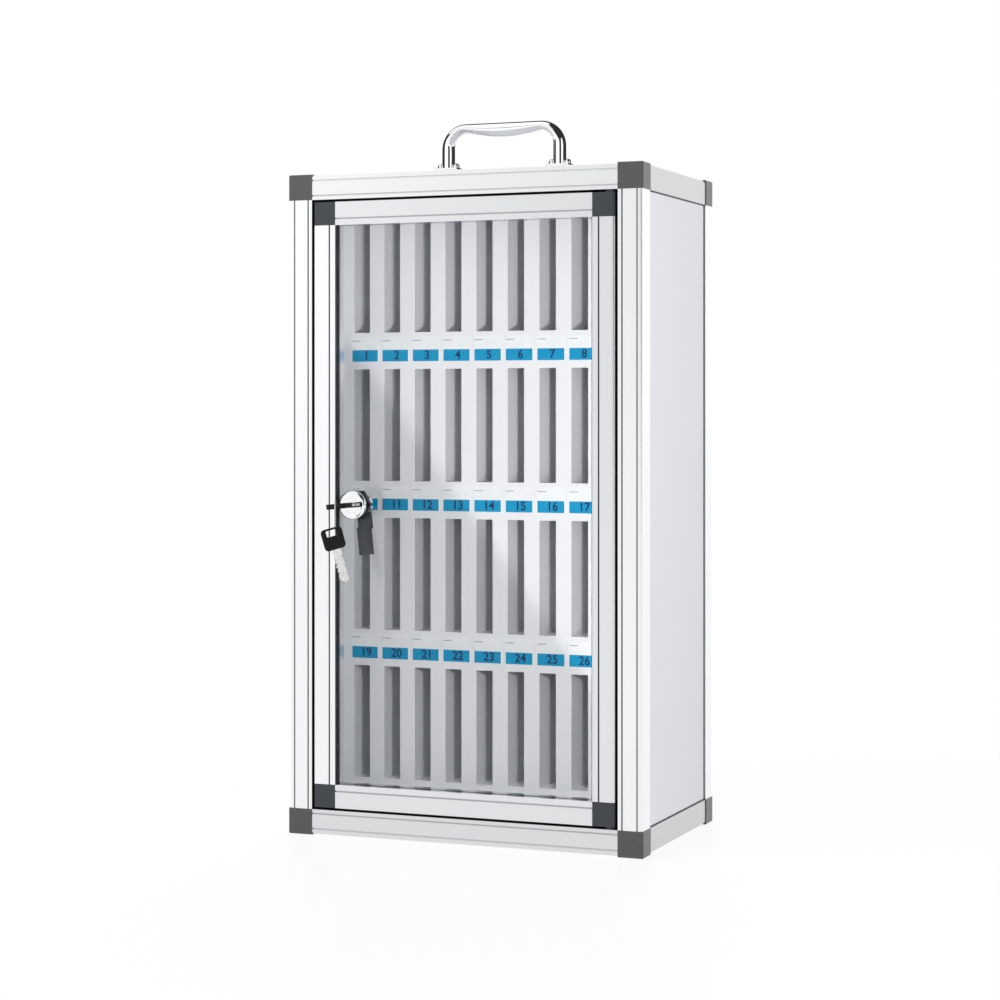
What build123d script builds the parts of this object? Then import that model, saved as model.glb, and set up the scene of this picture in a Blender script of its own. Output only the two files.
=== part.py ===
from build123d import *
import os

# A free-standing phone locker box: an aluminium profile cabinet with plastic corner blocks, a
# glazed door on pivot pins, a cam lock with its keys, a carrying handle and a rack of numbered slots.
# Millimetres. X runs to the right, Y from the front to the back and Z up. The origin is the middle
# of the footprint, on the surface that the cabinet stands on.

os.makedirs("parts", exist_ok=True)

# ---- cabinet ----
cabinet_width = 295.0
cabinet_depth = 178.0
cabinet_height = 520.0
frame_face = 19.6  # width of a frame profile, seen from the front, and height of a rail
post_depth = 17.4
profile_wall = 1.6
profile_round = 2.5
block_proud = 0.6  # how far a corner block stands out past the profiles
block_round = 1.2
spigot_length = 12.0
spigot_play = 0.1
panel_thickness = 2.0
panel_recess = 1.2  # from the face of the profiles to the face of a panel
panel_grip = 4.0  # how far a panel reaches into a profile
panel_play = 0.15
panel_end_play = 1.0
groove_width = 1.2
groove_depth = 0.9
inner_groove = 3.3  # from the inner edge of a front profile
outer_groove = 15.2

# ---- door ----
door_gap = 2.0
door_face = 18.3
door_depth = 16.0
door_wall = 1.5
door_round = 0.8
hinge_round = 3.0
door_groove = 5.1  # from the inner edge of a door profile
pane_recess = 5.0
pane_thickness = 3.0
pane_grip = 5.5
pane_play = 0.1
pane_end_play = 0.5
gasket_thickness = 0.6
gasket_recess = 0.5

# ---- door pivots ----
pivot_inset = 5.0  # from the door's outer edge and from its front face
pin_radius = 2.0
pin_reach = 10.0  # into the door and into the frame
running_clearance = 0.05
bush_wall = 1.0
bush_flange_radius = 4.6
bush_top_play = 0.4

# ---- door stops and seal ----
stop_thickness = 1.5
stop_lap = 8.0  # how far a stop reaches behind the door
stop_hold = 10.0  # how far it lies on the profile's back
seal_width = 5.0
seal_play = 0.2
hinge_side_relief = 9.0  # how far the seals stay short of the pivot

# ---- cam lock ----
lock_height = cabinet_height / 2
lock_inset = 13.6  # from the stile's inner edge to the lock's axis
lock_tilt = -6.0  # the keyway's turn from the level, in degrees
bezel_radius = 11.5
bezel_thickness = 3.2
bezel_round = 2.4
washer_thickness = 0.8
barrel_radius = 9.0
barrel_play = 0.3
plug_radius = 6.0
lock_nut_across = 22.0
lock_nut_thickness = 4.0
keyway_height = 8.0
keyway_play = 0.1
keyway_end_wall = 8.3
tail_side = 5.0
tail_play = 0.05
cam_thickness = 1.8
cam_width = 12.0
cam_length = 40.0
cam_step = 3.0  # how far the cam's end is set forward
cam_step_start = 18.0
cam_gap = 0.3
cam_behind_stop = 0.5
cam_nut_across = 8.0
cam_nut_thickness = 3.0
tail_end = 1.2

# ---- keys and ring ----
key_head_width = 16.6
key_head_length = 16.8
key_head_thickness = 4.0
key_head_round = 3.0
key_slot_length = 8.6
key_slot_width = 5.0
key_slot_round = 1.0
key_bridge = 1.5  # between the slot and the end of the head
key_tang = 9.0
blade_length = 26.0
blade_width = 7.2
blade_thickness = 2.0
notch_depth = 1.1
notch_half_width = 1.3
notch_pitch = 3.6
notch_count = 5
key_slot_reach = 30.0  # from the pane to the middle of the inserted key's slot
ring_radius = 11.2
wire_radius = 0.55
ring_lean = 55.0  # degrees round the ring from its top to the inserted key
ring_side = 1.8  # from the inserted key's middle to the ring
ring_seat = 0.55
ring_turn = 26.0  # degrees that the ring and the spare key are turned about the upright
spare_side = 3.2  # from the spare key's middle to the ring
spare_tilt = -16.0
ring_gap = 0.3

# ---- carrying handle ----
handle_centres = 96.0
handle_width = 12.0
handle_leg = 7.4
handle_rise = 45.0  # from the top of the box to the top of the grip
handle_bend = 19.0
grip_end_thickness = 6.2
grip_inner_bend = 10.0
grip_dip = 17.0  # degrees that the grip's underside slopes down from each bend
handle_round = 2.3
flange_border = 0.3  # from a screw head to the leg and to the end of the flange
flange_thickness = 2.0
riser_margin = 0.5  # how far a riser stands out past its flange
riser_height = 9.8
handle_screw_radius = 1.2
handle_head_radius = 2.65
handle_head_height = 3.8
handle_head_round = 2.4
screw_play = 0.2
backing_length = 130.0
backing_width = 26.0
backing_thickness = 2.0
handle_nut_across = 5.5
handle_nut_thickness = 2.4
screw_end = 1.0

# ---- rack ----
rack_setback = 48.4  # from the front of the corner blocks to the face of the rack
rack_border = 14.25  # from the side of the opening to the outermost slots
column_count = 9
slot_width = 13.7
tier_count = 4
floor_rise = 19.8  # from the bottom of the opening to the lowest slot floor
fascia_height = 13.8  # from the top slots to the top of the opening
label_rail_height = 29.2
rail_thickness = 3.0
shelf_thickness = 3.0
divider_wall = 1.2
end_wall = 2.0
rack_side_play = 0.3
rack_back_play = 0.3
rack_end_play = 0.3
label_gap = 2.55  # between neighbouring labels
label_foot = 6.4  # from a label's lower edge to the slots below
label_thickness = 0.4
label_drop = 3.4  # from the slot's floor to the top of its label
label_side = 2.8  # from the slot's middle to the label's middle

# ---- planes and edges that the pieces share ----
frame_x = cabinet_width / 2 - block_proud
front_y = -cabinet_depth / 2 + block_proud
back_y = -front_y
frame_bottom = block_proud
frame_top = cabinet_height - block_proud
open_x = frame_x - frame_face
open_bottom = frame_bottom + frame_face
open_top = frame_top - frame_face
post_back_y = front_y + post_depth
rear_front_y = back_y - post_depth
middle = Plane.XY.offset(cabinet_height / 2)

door_x = open_x - door_gap
door_bottom = open_bottom + door_gap
door_top = open_top - door_gap
door_back_y = front_y + door_depth
sight_x = door_x - door_face
sight_bottom = door_bottom + door_face
sight_top = door_top - door_face
pane_y = front_y + pane_recess
pane_back_y = pane_y + pane_thickness
pivot_x = door_x - pivot_inset
pivot_y = front_y + pivot_inset

lock_x = -sight_x + lock_inset
stop_back_y = post_back_y + stop_thickness

rack_y = -cabinet_depth / 2 + rack_setback
rack_half = open_x - rack_border
column_pitch = (2 * rack_half - slot_width) / (column_count - 1)
column_places = [(column - (column_count - 1) / 2) * column_pitch for column in range(column_count)]
lowest_floor = open_bottom + floor_rise
tier_pitch = (open_top - fascia_height + label_rail_height - lowest_floor) / tier_count
slot_height = tier_pitch - label_rail_height
floor_heights = [lowest_floor + tier * tier_pitch for tier in range(tier_count)]


def box(x, y, z):
    """A box between its low and high ends along each axis."""
    centre = Pos(sum(x) / 2, sum(y) / 2, sum(z) / 2)
    return centre * Box(x[1] - x[0], y[1] - y[0], z[1] - z[0])


def rod(radius, y):
    """A round bar along Y, on the Y axis."""
    return Pos(0, sum(y) / 2, 0) * Rot(90, 0, 0) * Cylinder(radius, y[1] - y[0])


def upright(radius, z):
    """A round bar along Z, on the Z axis."""
    return Pos(0, 0, sum(z) / 2) * Cylinder(radius, z[1] - z[0])


def nut(across, y):
    """A hexagonal block along Y, on the Y axis."""
    outline = Plane.XZ * RegularPolygon(across / 2, 6, major_radius=False)
    return Pos(0, y[1], 0) * extrude(outline, y[1] - y[0])


def other_side(shape):
    return mirror(shape, Plane.YZ)


def other_end(shape):
    return mirror(shape, middle)


def save(name, *shapes):
    """Writes one node, with each solid of the shapes in it."""
    solids = [solid for shape in shapes for solid in shape.solids()]
    export_step(Compound(solids), f"parts/{name}.step")


# ---- panels, and the room that the profiles leave for them ----
side_outer = frame_x - panel_recess
side_panel_space = (
    (side_outer - panel_thickness, side_outer),
    (post_back_y - panel_grip, rear_front_y + panel_grip),
    (open_bottom - panel_grip, open_top + panel_grip),
)
back_outer = back_y - panel_recess
back_panel_space = (
    (-open_x - panel_grip, open_x + panel_grip),
    (back_outer - panel_thickness, back_outer),
    (open_bottom - panel_grip, open_top + panel_grip),
)
top_outer = frame_top - panel_recess
top_panel_space = (
    (-open_x - panel_grip, open_x + panel_grip),
    (post_back_y - panel_grip, rear_front_y + panel_grip),
    (top_outer - panel_thickness, top_outer),
)


def grown(space, through, ends):
    """The box of a panel, grown by one play through its thickness and another at its ends."""
    thin = min(range(3), key=lambda axis: space[axis][1] - space[axis][0])
    plays = [through if axis == thin else ends for axis in range(3)]
    return box(*[(low - play, high + play) for (low, high), play in zip(space, plays)])


side_slot = grown(side_panel_space, panel_play, panel_end_play)
back_slot = grown(back_panel_space, panel_play, panel_end_play)
top_slot = grown(top_panel_space, panel_play, panel_end_play)
slot_zone = panel_recess + panel_thickness + panel_play + profile_wall

# The hollow of each profile, across its two directions, on the right and at the top.
hollow_x = (open_x + profile_wall, frame_x - slot_zone)
hollow_z = (open_top + profile_wall, frame_top - slot_zone)
front_hollow_y = (front_y + profile_wall, post_back_y - profile_wall)
rear_hollow_y = (rear_front_y + profile_wall, back_y - slot_zone)
side_hollow_z = (open_top + profile_wall, frame_top - slot_zone)

pin_hole = Pos(pivot_x, pivot_y, 0) * upright(
    pin_radius + running_clearance, (open_top - pin_reach, open_top + pin_reach)
)


def rounded(shape, direction, *sides, radius=profile_round):
    """The shape with one long edge rounded: the one furthest along each of the two sides."""
    edges = shape.edges().filter_by(direction)
    for axis, end in sides:
        edges = edges.group_by(axis)[end]
    return fillet(edges, radius)


def frame_posts():
    """The four upright profiles."""
    z = (open_bottom, open_top)
    post = rounded(
        box((open_x, frame_x), (front_y, post_back_y), z), Axis.Z, (Axis.X, -1), (Axis.Y, 0)
    )
    post -= box(hollow_x, front_hollow_y, z)
    for groove in (inner_groove, outer_groove):
        start = open_x + groove - groove_width / 2
        post -= box((start, start + groove_width), (front_y, front_y + groove_depth), z)
    post -= side_slot
    rear = rounded(
        box((open_x, frame_x), (rear_front_y, back_y), z), Axis.Z, (Axis.X, -1), (Axis.Y, -1)
    )
    rear = rear - box(hollow_x, rear_hollow_y, z) - side_slot - back_slot
    save("front_post_right", post)
    save("front_post_left", other_side(post))
    save("rear_post_right", rear)
    save("rear_post_left", other_side(rear))


def frame_rails():
    """The eight level profiles: two in front, two behind and two each side."""
    x = (-open_x, open_x)
    rail = rounded(
        box(x, (front_y, post_back_y), (open_top, frame_top)), Axis.X, (Axis.Z, -1), (Axis.Y, 0)
    )
    rail -= box(x, front_hollow_y, hollow_z)
    for groove in (inner_groove, outer_groove):
        start = open_top + groove - groove_width / 2
        rail -= box(x, (front_y, front_y + groove_depth), (start, start + groove_width))
    rail = rail - top_slot - pin_hole
    rear = rounded(
        box(x, (rear_front_y, back_y), (open_top, frame_top)), Axis.X, (Axis.Z, -1), (Axis.Y, -1)
    )
    rear = rear - box(x, rear_hollow_y, hollow_z) - top_slot - back_slot
    y = (post_back_y, rear_front_y)
    side = rounded(
        box((open_x, frame_x), y, (open_top, frame_top)), Axis.Y, (Axis.Z, -1), (Axis.X, -1)
    )
    side = side - box(hollow_x, y, side_hollow_z) - top_slot - side_slot
    save("front_rail_top", rail)
    save("front_rail_bottom", other_end(rail))
    save("rear_rail_top", rear)
    save("rear_rail_bottom", other_end(rear))
    save("side_rail_top_right", side)
    save("side_rail_top_left", other_side(side))
    save("side_rail_bottom_right", other_end(side))
    save("side_rail_bottom_left", other_side(other_end(side)))


def tight(span):
    """A hollow's span, less the spigot's play at each end."""
    return (span[0] + spigot_play, span[1] - spigot_play)


def corner_block(y, hollow_y, spigot_y):
    """The top right block at the front or the back, with a spigot for each of its three profiles."""
    outer_y = y[0] if y[0] < 0 else y[1]
    block = box((open_x, frame_x + block_proud), y, (open_top, cabinet_height))
    corner = block.edges().filter_by(
        lambda edge: sum(
            (
                abs(edge.center().X - frame_x - block_proud) < block_proud,
                abs(edge.center().Y - outer_y) < block_proud,
                abs(edge.center().Z - cabinet_height) < block_proud,
            )
        )
        == 2
    )
    block = fillet(corner, block_round)
    block += box(tight(hollow_x), tight(hollow_y), (open_top - spigot_length, open_top))
    block += box((open_x - spigot_length, open_x), tight(hollow_y), tight(hollow_z))
    block += box(tight(hollow_x), spigot_y, tight(side_hollow_z))
    return block - side_slot - top_slot


def corner_blocks():
    """The eight blocks; the two front right ones hold the door's pivot pins."""
    front = corner_block(
        (front_y - block_proud, post_back_y), front_hollow_y, (post_back_y, post_back_y + spigot_length)
    )
    rear = corner_block(
        (rear_front_y, back_y + block_proud),
        rear_hollow_y,
        (rear_front_y - spigot_length, rear_front_y),
    )
    rear -= back_slot
    top = [front - pin_hole, other_side(front), rear, other_side(rear)]
    save("corner_blocks_top", *top)
    save("corner_blocks_bottom", *[other_end(block) for block in top])


def panels():
    """The five sheet panels, each held in the slots of the profiles round it."""
    side = box(*side_panel_space)
    top = box(*top_panel_space)
    save("side_panel_right", side)
    save("side_panel_left", other_side(side))
    save("back_panel", box(*back_panel_space))
    save("bottom_panel", other_end(top))
    for x, y in handle_screw_places():
        top -= Pos(x, y, 0) * upright(handle_screw_radius + screw_play, (open_top, frame_top))
    save("top_panel", top)


# ---- door ----
pane_space = (
    (-sight_x - pane_grip, sight_x + pane_grip),
    (pane_y, pane_back_y),
    (sight_bottom - pane_grip, sight_top + pane_grip),
)
pane_slot = grown(pane_space, pane_play, pane_end_play)
door_hollow_y = (front_y + door_wall, door_back_y - door_wall)
door_hollow_x = (sight_x + pane_grip + pane_end_play + door_wall, door_x - door_wall)
door_hollow_z = (sight_top + pane_grip + pane_end_play + door_wall, door_top - door_wall)
bush_radius = pin_radius + running_clearance + bush_wall


def door_frame():
    """Two stiles, two rails and the four corner blocks that join them."""
    y = (front_y, door_back_y)
    z = (sight_bottom, sight_top)
    plain = box((sight_x, door_x), y, z)
    hinge_stile = rounded(plain, Axis.Z, (Axis.X, -1), (Axis.Y, 0), radius=hinge_round)
    lock_stile = rounded(plain, Axis.Z, (Axis.X, -1), (Axis.Y, 0), radius=door_round)
    start = sight_x + door_groove - groove_width / 2
    cuts = box(door_hollow_x, door_hollow_y, z) + pane_slot
    cuts += box((start, start + groove_width), (front_y, front_y + groove_depth), z)
    save("door_stile_hinge", hinge_stile - cuts)
    save("door_stile_lock", other_side(lock_stile - cuts))
    x = (-sight_x, sight_x)
    rail = box(x, y, (sight_top, door_top)) - box(x, door_hollow_y, door_hollow_z) - pane_slot
    start = sight_top + door_groove - groove_width / 2
    rail -= box(x, (front_y, front_y + groove_depth), (start, start + groove_width))
    save("door_rail_top", rail)
    save("door_rail_bottom", other_end(rail))
    block = box((sight_x, door_x), y, (sight_top, door_top))
    hinge_block = rounded(block, Axis.Z, (Axis.X, -1), (Axis.Y, 0), radius=hinge_round)
    lock_block = rounded(block, Axis.Z, (Axis.X, -1), (Axis.Y, 0), radius=door_round)
    spigots = box(tight(door_hollow_x), tight(door_hollow_y), (sight_top - spigot_length, sight_top))
    spigots += box((sight_x - spigot_length, sight_x), tight(door_hollow_y), tight(door_hollow_z))
    seat = Pos(pivot_x, pivot_y, 0) * upright(bush_radius, (door_top - pin_reach, door_top))
    hinge_block = hinge_block + spigots - pane_slot - seat
    lock_block = other_side(lock_block + spigots - pane_slot)
    save("door_corners_hinge_side", hinge_block, other_end(hinge_block))
    save("door_corners_lock_side", lock_block, other_end(lock_block))


def door_glazing():
    """The pane, with the lock's hole, and the black strip along each stile."""
    hole = Pos(lock_x, 0, lock_height) * rod(barrel_radius + barrel_play, (pane_y, pane_back_y))
    save("door_pane", box(*pane_space) - hole)
    strip = box(
        (sight_x - gasket_thickness, sight_x), (front_y + gasket_recess, pane_y), (sight_bottom, sight_top)
    )
    save("pane_gaskets", strip, other_side(strip))


def door_pivots():
    """The pins fixed in the frame and the flanged bushes that turn on them with the door."""
    place = Pos(pivot_x, pivot_y, 0)
    pin = place * upright(pin_radius, (door_top - pin_reach, open_top + pin_reach))
    save("pivot_pins", pin, other_end(pin))
    sleeve = upright(bush_radius, (door_top - pin_reach, door_top))
    bore = upright(pin_radius + running_clearance, (door_top - pin_reach, open_top))
    upper = sleeve + upright(bush_flange_radius, (door_top, open_top - bush_top_play)) - bore
    lower = sleeve + upright(bush_flange_radius, (door_top, open_top)) - bore
    save("pivot_bushes", place * upper, other_end(place * lower))


def door_stops():
    """The strips behind the door, on the backs of the front profiles, and the seal on them."""
    y = (post_back_y, stop_back_y)
    upright_stop = box((open_x - stop_lap, open_x + stop_hold), y, (open_bottom, open_top))
    level_stop = box((-open_x + stop_lap, open_x - stop_lap), y, (open_top - stop_lap, open_top + stop_hold))
    save(
        "door_stops", upright_stop, other_side(upright_stop), level_stop, other_end(level_stop)
    )
    seal_y = (door_back_y + seal_play, post_back_y)
    side_x = (-open_x + stop_lap - seal_width, -open_x + stop_lap)
    level_z = (open_top - stop_lap, open_top - stop_lap + seal_width)
    side_seal = box(side_x, seal_y, (open_bottom + stop_lap, open_top - stop_lap))
    level_seal = box((side_x[0], pivot_x - hinge_side_relief), seal_y, level_z)
    save("door_seal", side_seal, level_seal, other_end(level_seal))


# ---- cam lock, in a frame on its own axis, and keys ----
lock_place = Pos(lock_x, 0, lock_height) * Rot(0, lock_tilt, 0)
bezel_back_y = pane_y - washer_thickness
bezel_y = bezel_back_y - bezel_thickness
shoulder_y = pane_y - key_slot_reach - key_slot_width / 2 - key_bridge + key_head_length
blade_end_y = shoulder_y + blade_length
plug_back_y = blade_end_y + keyway_end_wall
cam_y = plug_back_y + cam_gap
cam_back_y = cam_y + cam_thickness
cam_tip_y = max(stop_back_y + cam_behind_stop, cam_y - cam_step)


def cam_lock():
    """The lock's barrel, washer, nut, plug, cam and cam nut."""
    body = rounded_bezel() + rod(barrel_radius, (bezel_back_y, plug_back_y))
    body -= rod(plug_radius + running_clearance, (bezel_y, plug_back_y))
    save("lock_body", Pos(lock_x, 0, lock_height) * body)
    around = rod(barrel_radius + running_clearance, (bezel_back_y, pane_back_y + lock_nut_thickness))
    washer = rod(bezel_radius, (bezel_back_y, pane_y)) - around
    save("lock_washer", Pos(lock_x, 0, lock_height) * washer)
    back_nut = nut(lock_nut_across, (pane_back_y, pane_back_y + lock_nut_thickness)) - around
    save("lock_nut", Pos(lock_x, 0, lock_height) * back_nut)

    tail_end_y = cam_back_y + cam_nut_thickness + tail_end
    plug = rod(plug_radius, (bezel_y, plug_back_y))
    plug += box((-tail_side / 2, tail_side / 2), (plug_back_y, cam_back_y), (-tail_side / 2, tail_side / 2))
    plug += rod(tail_side / 2, (cam_back_y, tail_end_y))
    plug -= box(
        (-keyway_height / 2, keyway_height / 2),
        (bezel_y, blade_end_y),
        (-blade_thickness / 2 - keyway_play, blade_thickness / 2 + keyway_play),
    )
    save("lock_plug", lock_place * plug)

    x = (-cam_width / 2, cam_width / 2)
    cam = box(x, (cam_y, cam_back_y), (-cam_step_start, cam_width / 2))
    cam += box(x, (cam_tip_y, cam_back_y), (-cam_step_start - cam_thickness, -cam_step_start))
    cam += box(x, (cam_tip_y, cam_tip_y + cam_thickness), (-cam_length, -cam_step_start))
    hole = tail_side / 2 + tail_play
    cam -= box((-hole, hole), (cam_y, cam_back_y), (-hole, hole))
    save("lock_cam", lock_place * cam)
    end_nut = nut(cam_nut_across, (cam_back_y, cam_back_y + cam_nut_thickness))
    end_nut -= rod(tail_side / 2 + tail_play, (cam_back_y, tail_end_y))
    save("lock_cam_nut", lock_place * end_nut)


def rounded_bezel():
    """The lock's round front flange, with its front edge rounded."""
    flange = rod(bezel_radius, (bezel_y, bezel_back_y))
    return fillet(flange.edges().sort_by(Axis.Y)[0], bezel_round)


def key():
    """A key as its head and its blade, hanging down, with the middle of its slot at the origin."""
    top = key_slot_width / 2 + key_bridge
    shoulder = top - key_head_length
    thick = (-key_head_thickness / 2, key_head_thickness / 2)
    head = box((-key_head_width / 2, key_head_width / 2), thick, (shoulder, top))
    head = fillet(head.edges().filter_by(Axis.Y), key_head_round)
    slot = Plane.XZ * RectangleRounded(key_slot_length, key_slot_width, key_slot_round)
    head -= extrude(slot, key_head_thickness, both=True)
    across = (-blade_width / 2, blade_width / 2)
    blade_y = (-blade_thickness / 2, blade_thickness / 2)
    tang = box(across, blade_y, (shoulder, shoulder + key_tang))
    blade = box(across, blade_y, (shoulder - blade_length, shoulder))
    blade = chamfer(
        blade.edges().filter_by(Axis.Y).group_by(Axis.Z)[0], blade_width / 2 - blade_thickness / 2
    )
    for place in range(notch_count):
        height = shoulder - blade_length + notch_pitch * (place + 1.5)
        for edge, start in ((blade_width / 2, 0), (-blade_width / 2, notch_pitch / 2)):
            cutter = Polygon(
                (edge, height + start - notch_half_width),
                (edge - notch_depth * (1 if edge > 0 else -1), height + start),
                (edge, height + start + notch_half_width),
                align=None,
            )
            blade -= extrude(Plane.XZ * cutter, blade_thickness, both=True)
    return head - tang, blade + tang


def keys():
    """The key in the lock, the ring through its slot and the spare key that hangs on the ring."""
    head, blade = key()
    inserted = lock_place * Pos(0, pane_y - key_slot_reach, 0) * Rot(90, 0, 0)
    save("key_head", inserted * head)
    save("key_blade", inserted * blade)
    ring = Pos(ring_x, ring_y, ring_z) * ring_facing
    save("key_ring", ring * Rot(0, 90, 0) * Torus(ring_radius, wire_radius))
    wire_top = wire_radius + ring_gap
    hang = ring * Pos(0, 0, -ring_radius) * Rot(0, spare_tilt, 0)
    hang *= Pos(-spare_side, 0, wire_top - key_slot_width / 2)
    save("spare_key_head", hang * head)
    save("spare_key_blade", hang * blade)


ring_facing = Rot(0, 0, ring_turn)
slot_point = (lock_place * Pos(-ring_side, pane_y - key_slot_reach + ring_seat, 0)).position
ring_arm = (ring_facing * Rot(ring_lean, 0, 0) * Pos(0, 0, ring_radius)).position
ring_x = slot_point.X + ring_arm.X
ring_y = slot_point.Y + ring_arm.Y
ring_z = slot_point.Z - ring_arm.Z


# ---- handle ----
handle_screw_offset = handle_leg / 2 + flange_border + handle_head_radius
flange_length = 2 * (handle_screw_offset + handle_head_radius + flange_border)
riser_length = flange_length + 2 * riser_margin
riser_width = handle_width + 2 * riser_margin


def handle_screw_places():
    """Two screws for each leg of the handle, in line along X."""
    return [
        (side * handle_centres / 2 + offset, 0)
        for side in (-1, 1)
        for offset in (-handle_screw_offset, handle_screw_offset)
    ]


def handle():
    """The chrome bow, its risers, screws and nuts, and the plate under the top panel."""
    riser_top = top_outer + riser_height
    flange_top = riser_top + flange_thickness
    grip_top = cabinet_height + handle_rise
    outer = handle_centres / 2 + handle_leg / 2
    inner = handle_centres / 2 - handle_leg / 2
    with BuildSketch(Plane.XZ) as outline:
        with BuildLine():
            left = Line((-outer, riser_top), (-outer, grip_top - handle_bend))
            bend = JernArc(left @ 1, (0, 1), handle_bend, -90)
            across = Line(bend @ 1, (outer - handle_bend, grip_top))
            turn = JernArc(across @ 1, (1, 0), handle_bend, -90)
            right = Line(turn @ 1, (outer, riser_top))
            foot = Line(right @ 1, (inner, riser_top))
            rise = Line(foot @ 1, (inner, grip_top - grip_end_thickness - grip_inner_bend))
            curl = JernArc(rise @ 1, (0, 1), grip_inner_bend, 90 + grip_dip)
            end = curl @ 1
            belly = TangentArc(end, (-end.X, end.Y), tangent=curl % 1)
            back = JernArc(belly @ 1, belly % 1, grip_inner_bend, 90 + grip_dip)
            drop = Line(back @ 1, (-inner, riser_top))
            Line(drop @ 1, left @ 0)
        make_face()
    bow = extrude(outline.sketch, handle_width / 2, both=True)
    sides = bow.faces().filter_by(Axis.Y)
    rims = [
        edge
        for face in sides
        for edge in face.outer_wire().edges()
        if edge.center().Z > riser_top + handle_round
    ]
    bow = fillet(rims, handle_round)
    for side in (-1, 1):
        centre = side * handle_centres / 2
        bow += box(
            (centre - flange_length / 2, centre + flange_length / 2),
            (-handle_width / 2, handle_width / 2),
            (riser_top, flange_top),
        )
    for x, y in handle_screw_places():
        bow -= Pos(x, y, 0) * upright(handle_screw_radius + screw_play, (riser_top, flange_top))
    save("handle_bow", bow)

    risers = []
    for side in (-1, 1):
        centre = side * handle_centres / 2
        riser = box(
            (centre - riser_length / 2, centre + riser_length / 2),
            (-riser_width / 2, riser_width / 2),
            (top_outer, riser_top),
        )
        risers.append(fillet(riser.edges().filter_by(Axis.Z), block_round))
    plate_top = top_outer - panel_thickness
    plate_bottom = plate_top - backing_thickness
    plate = box(
        (-backing_length / 2, backing_length / 2),
        (-backing_width / 2, backing_width / 2),
        (plate_bottom, plate_top),
    )
    screws = []
    nuts = []
    screw_bottom = plate_bottom - handle_nut_thickness - screw_end
    for x, y in handle_screw_places():
        hole = Pos(x, y, 0) * upright(handle_screw_radius + screw_play, (plate_bottom, riser_top))
        risers = [riser - hole for riser in risers]
        plate -= hole
        shank = upright(handle_screw_radius, (screw_bottom, flange_top))
        head = upright(handle_head_radius, (flange_top, flange_top + handle_head_height))
        head = fillet(head.edges().sort_by(Axis.Z)[-1], handle_head_round)
        screws.append(Pos(x, y, 0) * (shank + head))
        hexagon = extrude(RegularPolygon(handle_nut_across / 2, 6, major_radius=False), handle_nut_thickness)
        hexagon -= upright(handle_screw_radius + running_clearance, (0, handle_nut_thickness))
        nuts.append(Pos(x, y, plate_bottom - handle_nut_thickness) * hexagon)
    save("handle_risers", *risers)
    save("handle_backing_plate", plate)
    save("handle_screws", *screws)
    save("handle_nuts", *nuts)


# ---- rack ----
rack_back = back_outer - panel_thickness - rack_back_play
rack_bottom = frame_bottom + panel_recess + panel_thickness
rack_top = open_top - rack_end_play
board_bottom = rack_top - shelf_thickness
rack_ceiling = floor_heights[-1] + slot_height
web_back_y = rack_y + rail_thickness
end_outer = side_outer - panel_thickness - rack_side_play


def rack_ends():
    """The end channels: a wall beside the outer slots and a web in front that fills the side."""
    z = (open_bottom, rack_top)
    end = box((rack_half, rack_half + end_wall), (rack_y, rack_back), z)
    end += box((rack_half, end_outer), (rack_y, web_back_y), z)
    end += box((rack_half, open_x - rack_side_play), (rack_y, web_back_y), (rack_bottom, open_bottom))
    save("rack_end_right", end)
    save("rack_end_left", other_side(end))


def shelves():
    """Each shelf with the label rail that hangs from its front edge, and the rack's top board."""
    x = (-rack_half, rack_half)
    for tier, floor in enumerate(floor_heights):
        below = rack_bottom if tier == 0 else floor - label_rail_height
        shelf = box(x, (rack_y, rack_back), (floor - shelf_thickness, floor))
        shelf += box(x, (rack_y, web_back_y), (below, floor))
        save(f"shelf_{tier_count - tier}", shelf)
    board = box(x, (rack_y, rack_back), (board_bottom, rack_top))
    board += box(x, (rack_y, web_back_y), (rack_ceiling, board_bottom))
    save("rack_top_board", board)


def dividers():
    """The hollow uprights between the slots of each tier."""
    gap = column_pitch - slot_width
    ceilings = [floor - shelf_thickness for floor in floor_heights[1:]] + [board_bottom]
    for tier, (floor, top) in enumerate(zip(floor_heights, ceilings)):
        row = []
        for left, right in zip(column_places, column_places[1:]):
            x = ((left + right - gap) / 2, (left + right + gap) / 2)
            divider = box(x, (rack_y, rack_back), (floor, top))
            inside = (x[0] + divider_wall, x[1] - divider_wall)
            divider -= box(inside, (web_back_y + divider_wall, rack_back), (floor, top))
            divider -= box(x, (rack_y, web_back_y), (floor + slot_height, top))
            row.append(divider)
        save(f"dividers_{tier_count - tier}", *row)


def labels():
    """One number card under each slot."""
    cards = []
    label_width = column_pitch - label_gap
    for floor in floor_heights:
        for place in column_places:
            centre = place + label_side
            cards.append(
                box(
                    (centre - label_width / 2, centre + label_width / 2),
                    (rack_y - label_thickness, rack_y),
                    (floor - label_rail_height + label_foot, floor - label_drop),
                )
            )
    save("number_labels", *cards)


frame_posts()
frame_rails()
corner_blocks()
panels()
door_frame()
door_glazing()
door_pivots()
door_stops()
cam_lock()
keys()
handle()
rack_ends()
shelves()
dividers()
labels()
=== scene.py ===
"""A phone locker box, dressed for rendering.

It is an aluminium cabinet with a glazed, locked door, a carrying handle and a rack of numbered slots.
"""

import logging
import math
from collections.abc import Iterable, Iterator, Mapping, Sequence
from contextlib import contextmanager
from dataclasses import dataclass, replace
from enum import Enum
from typing import Any

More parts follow.
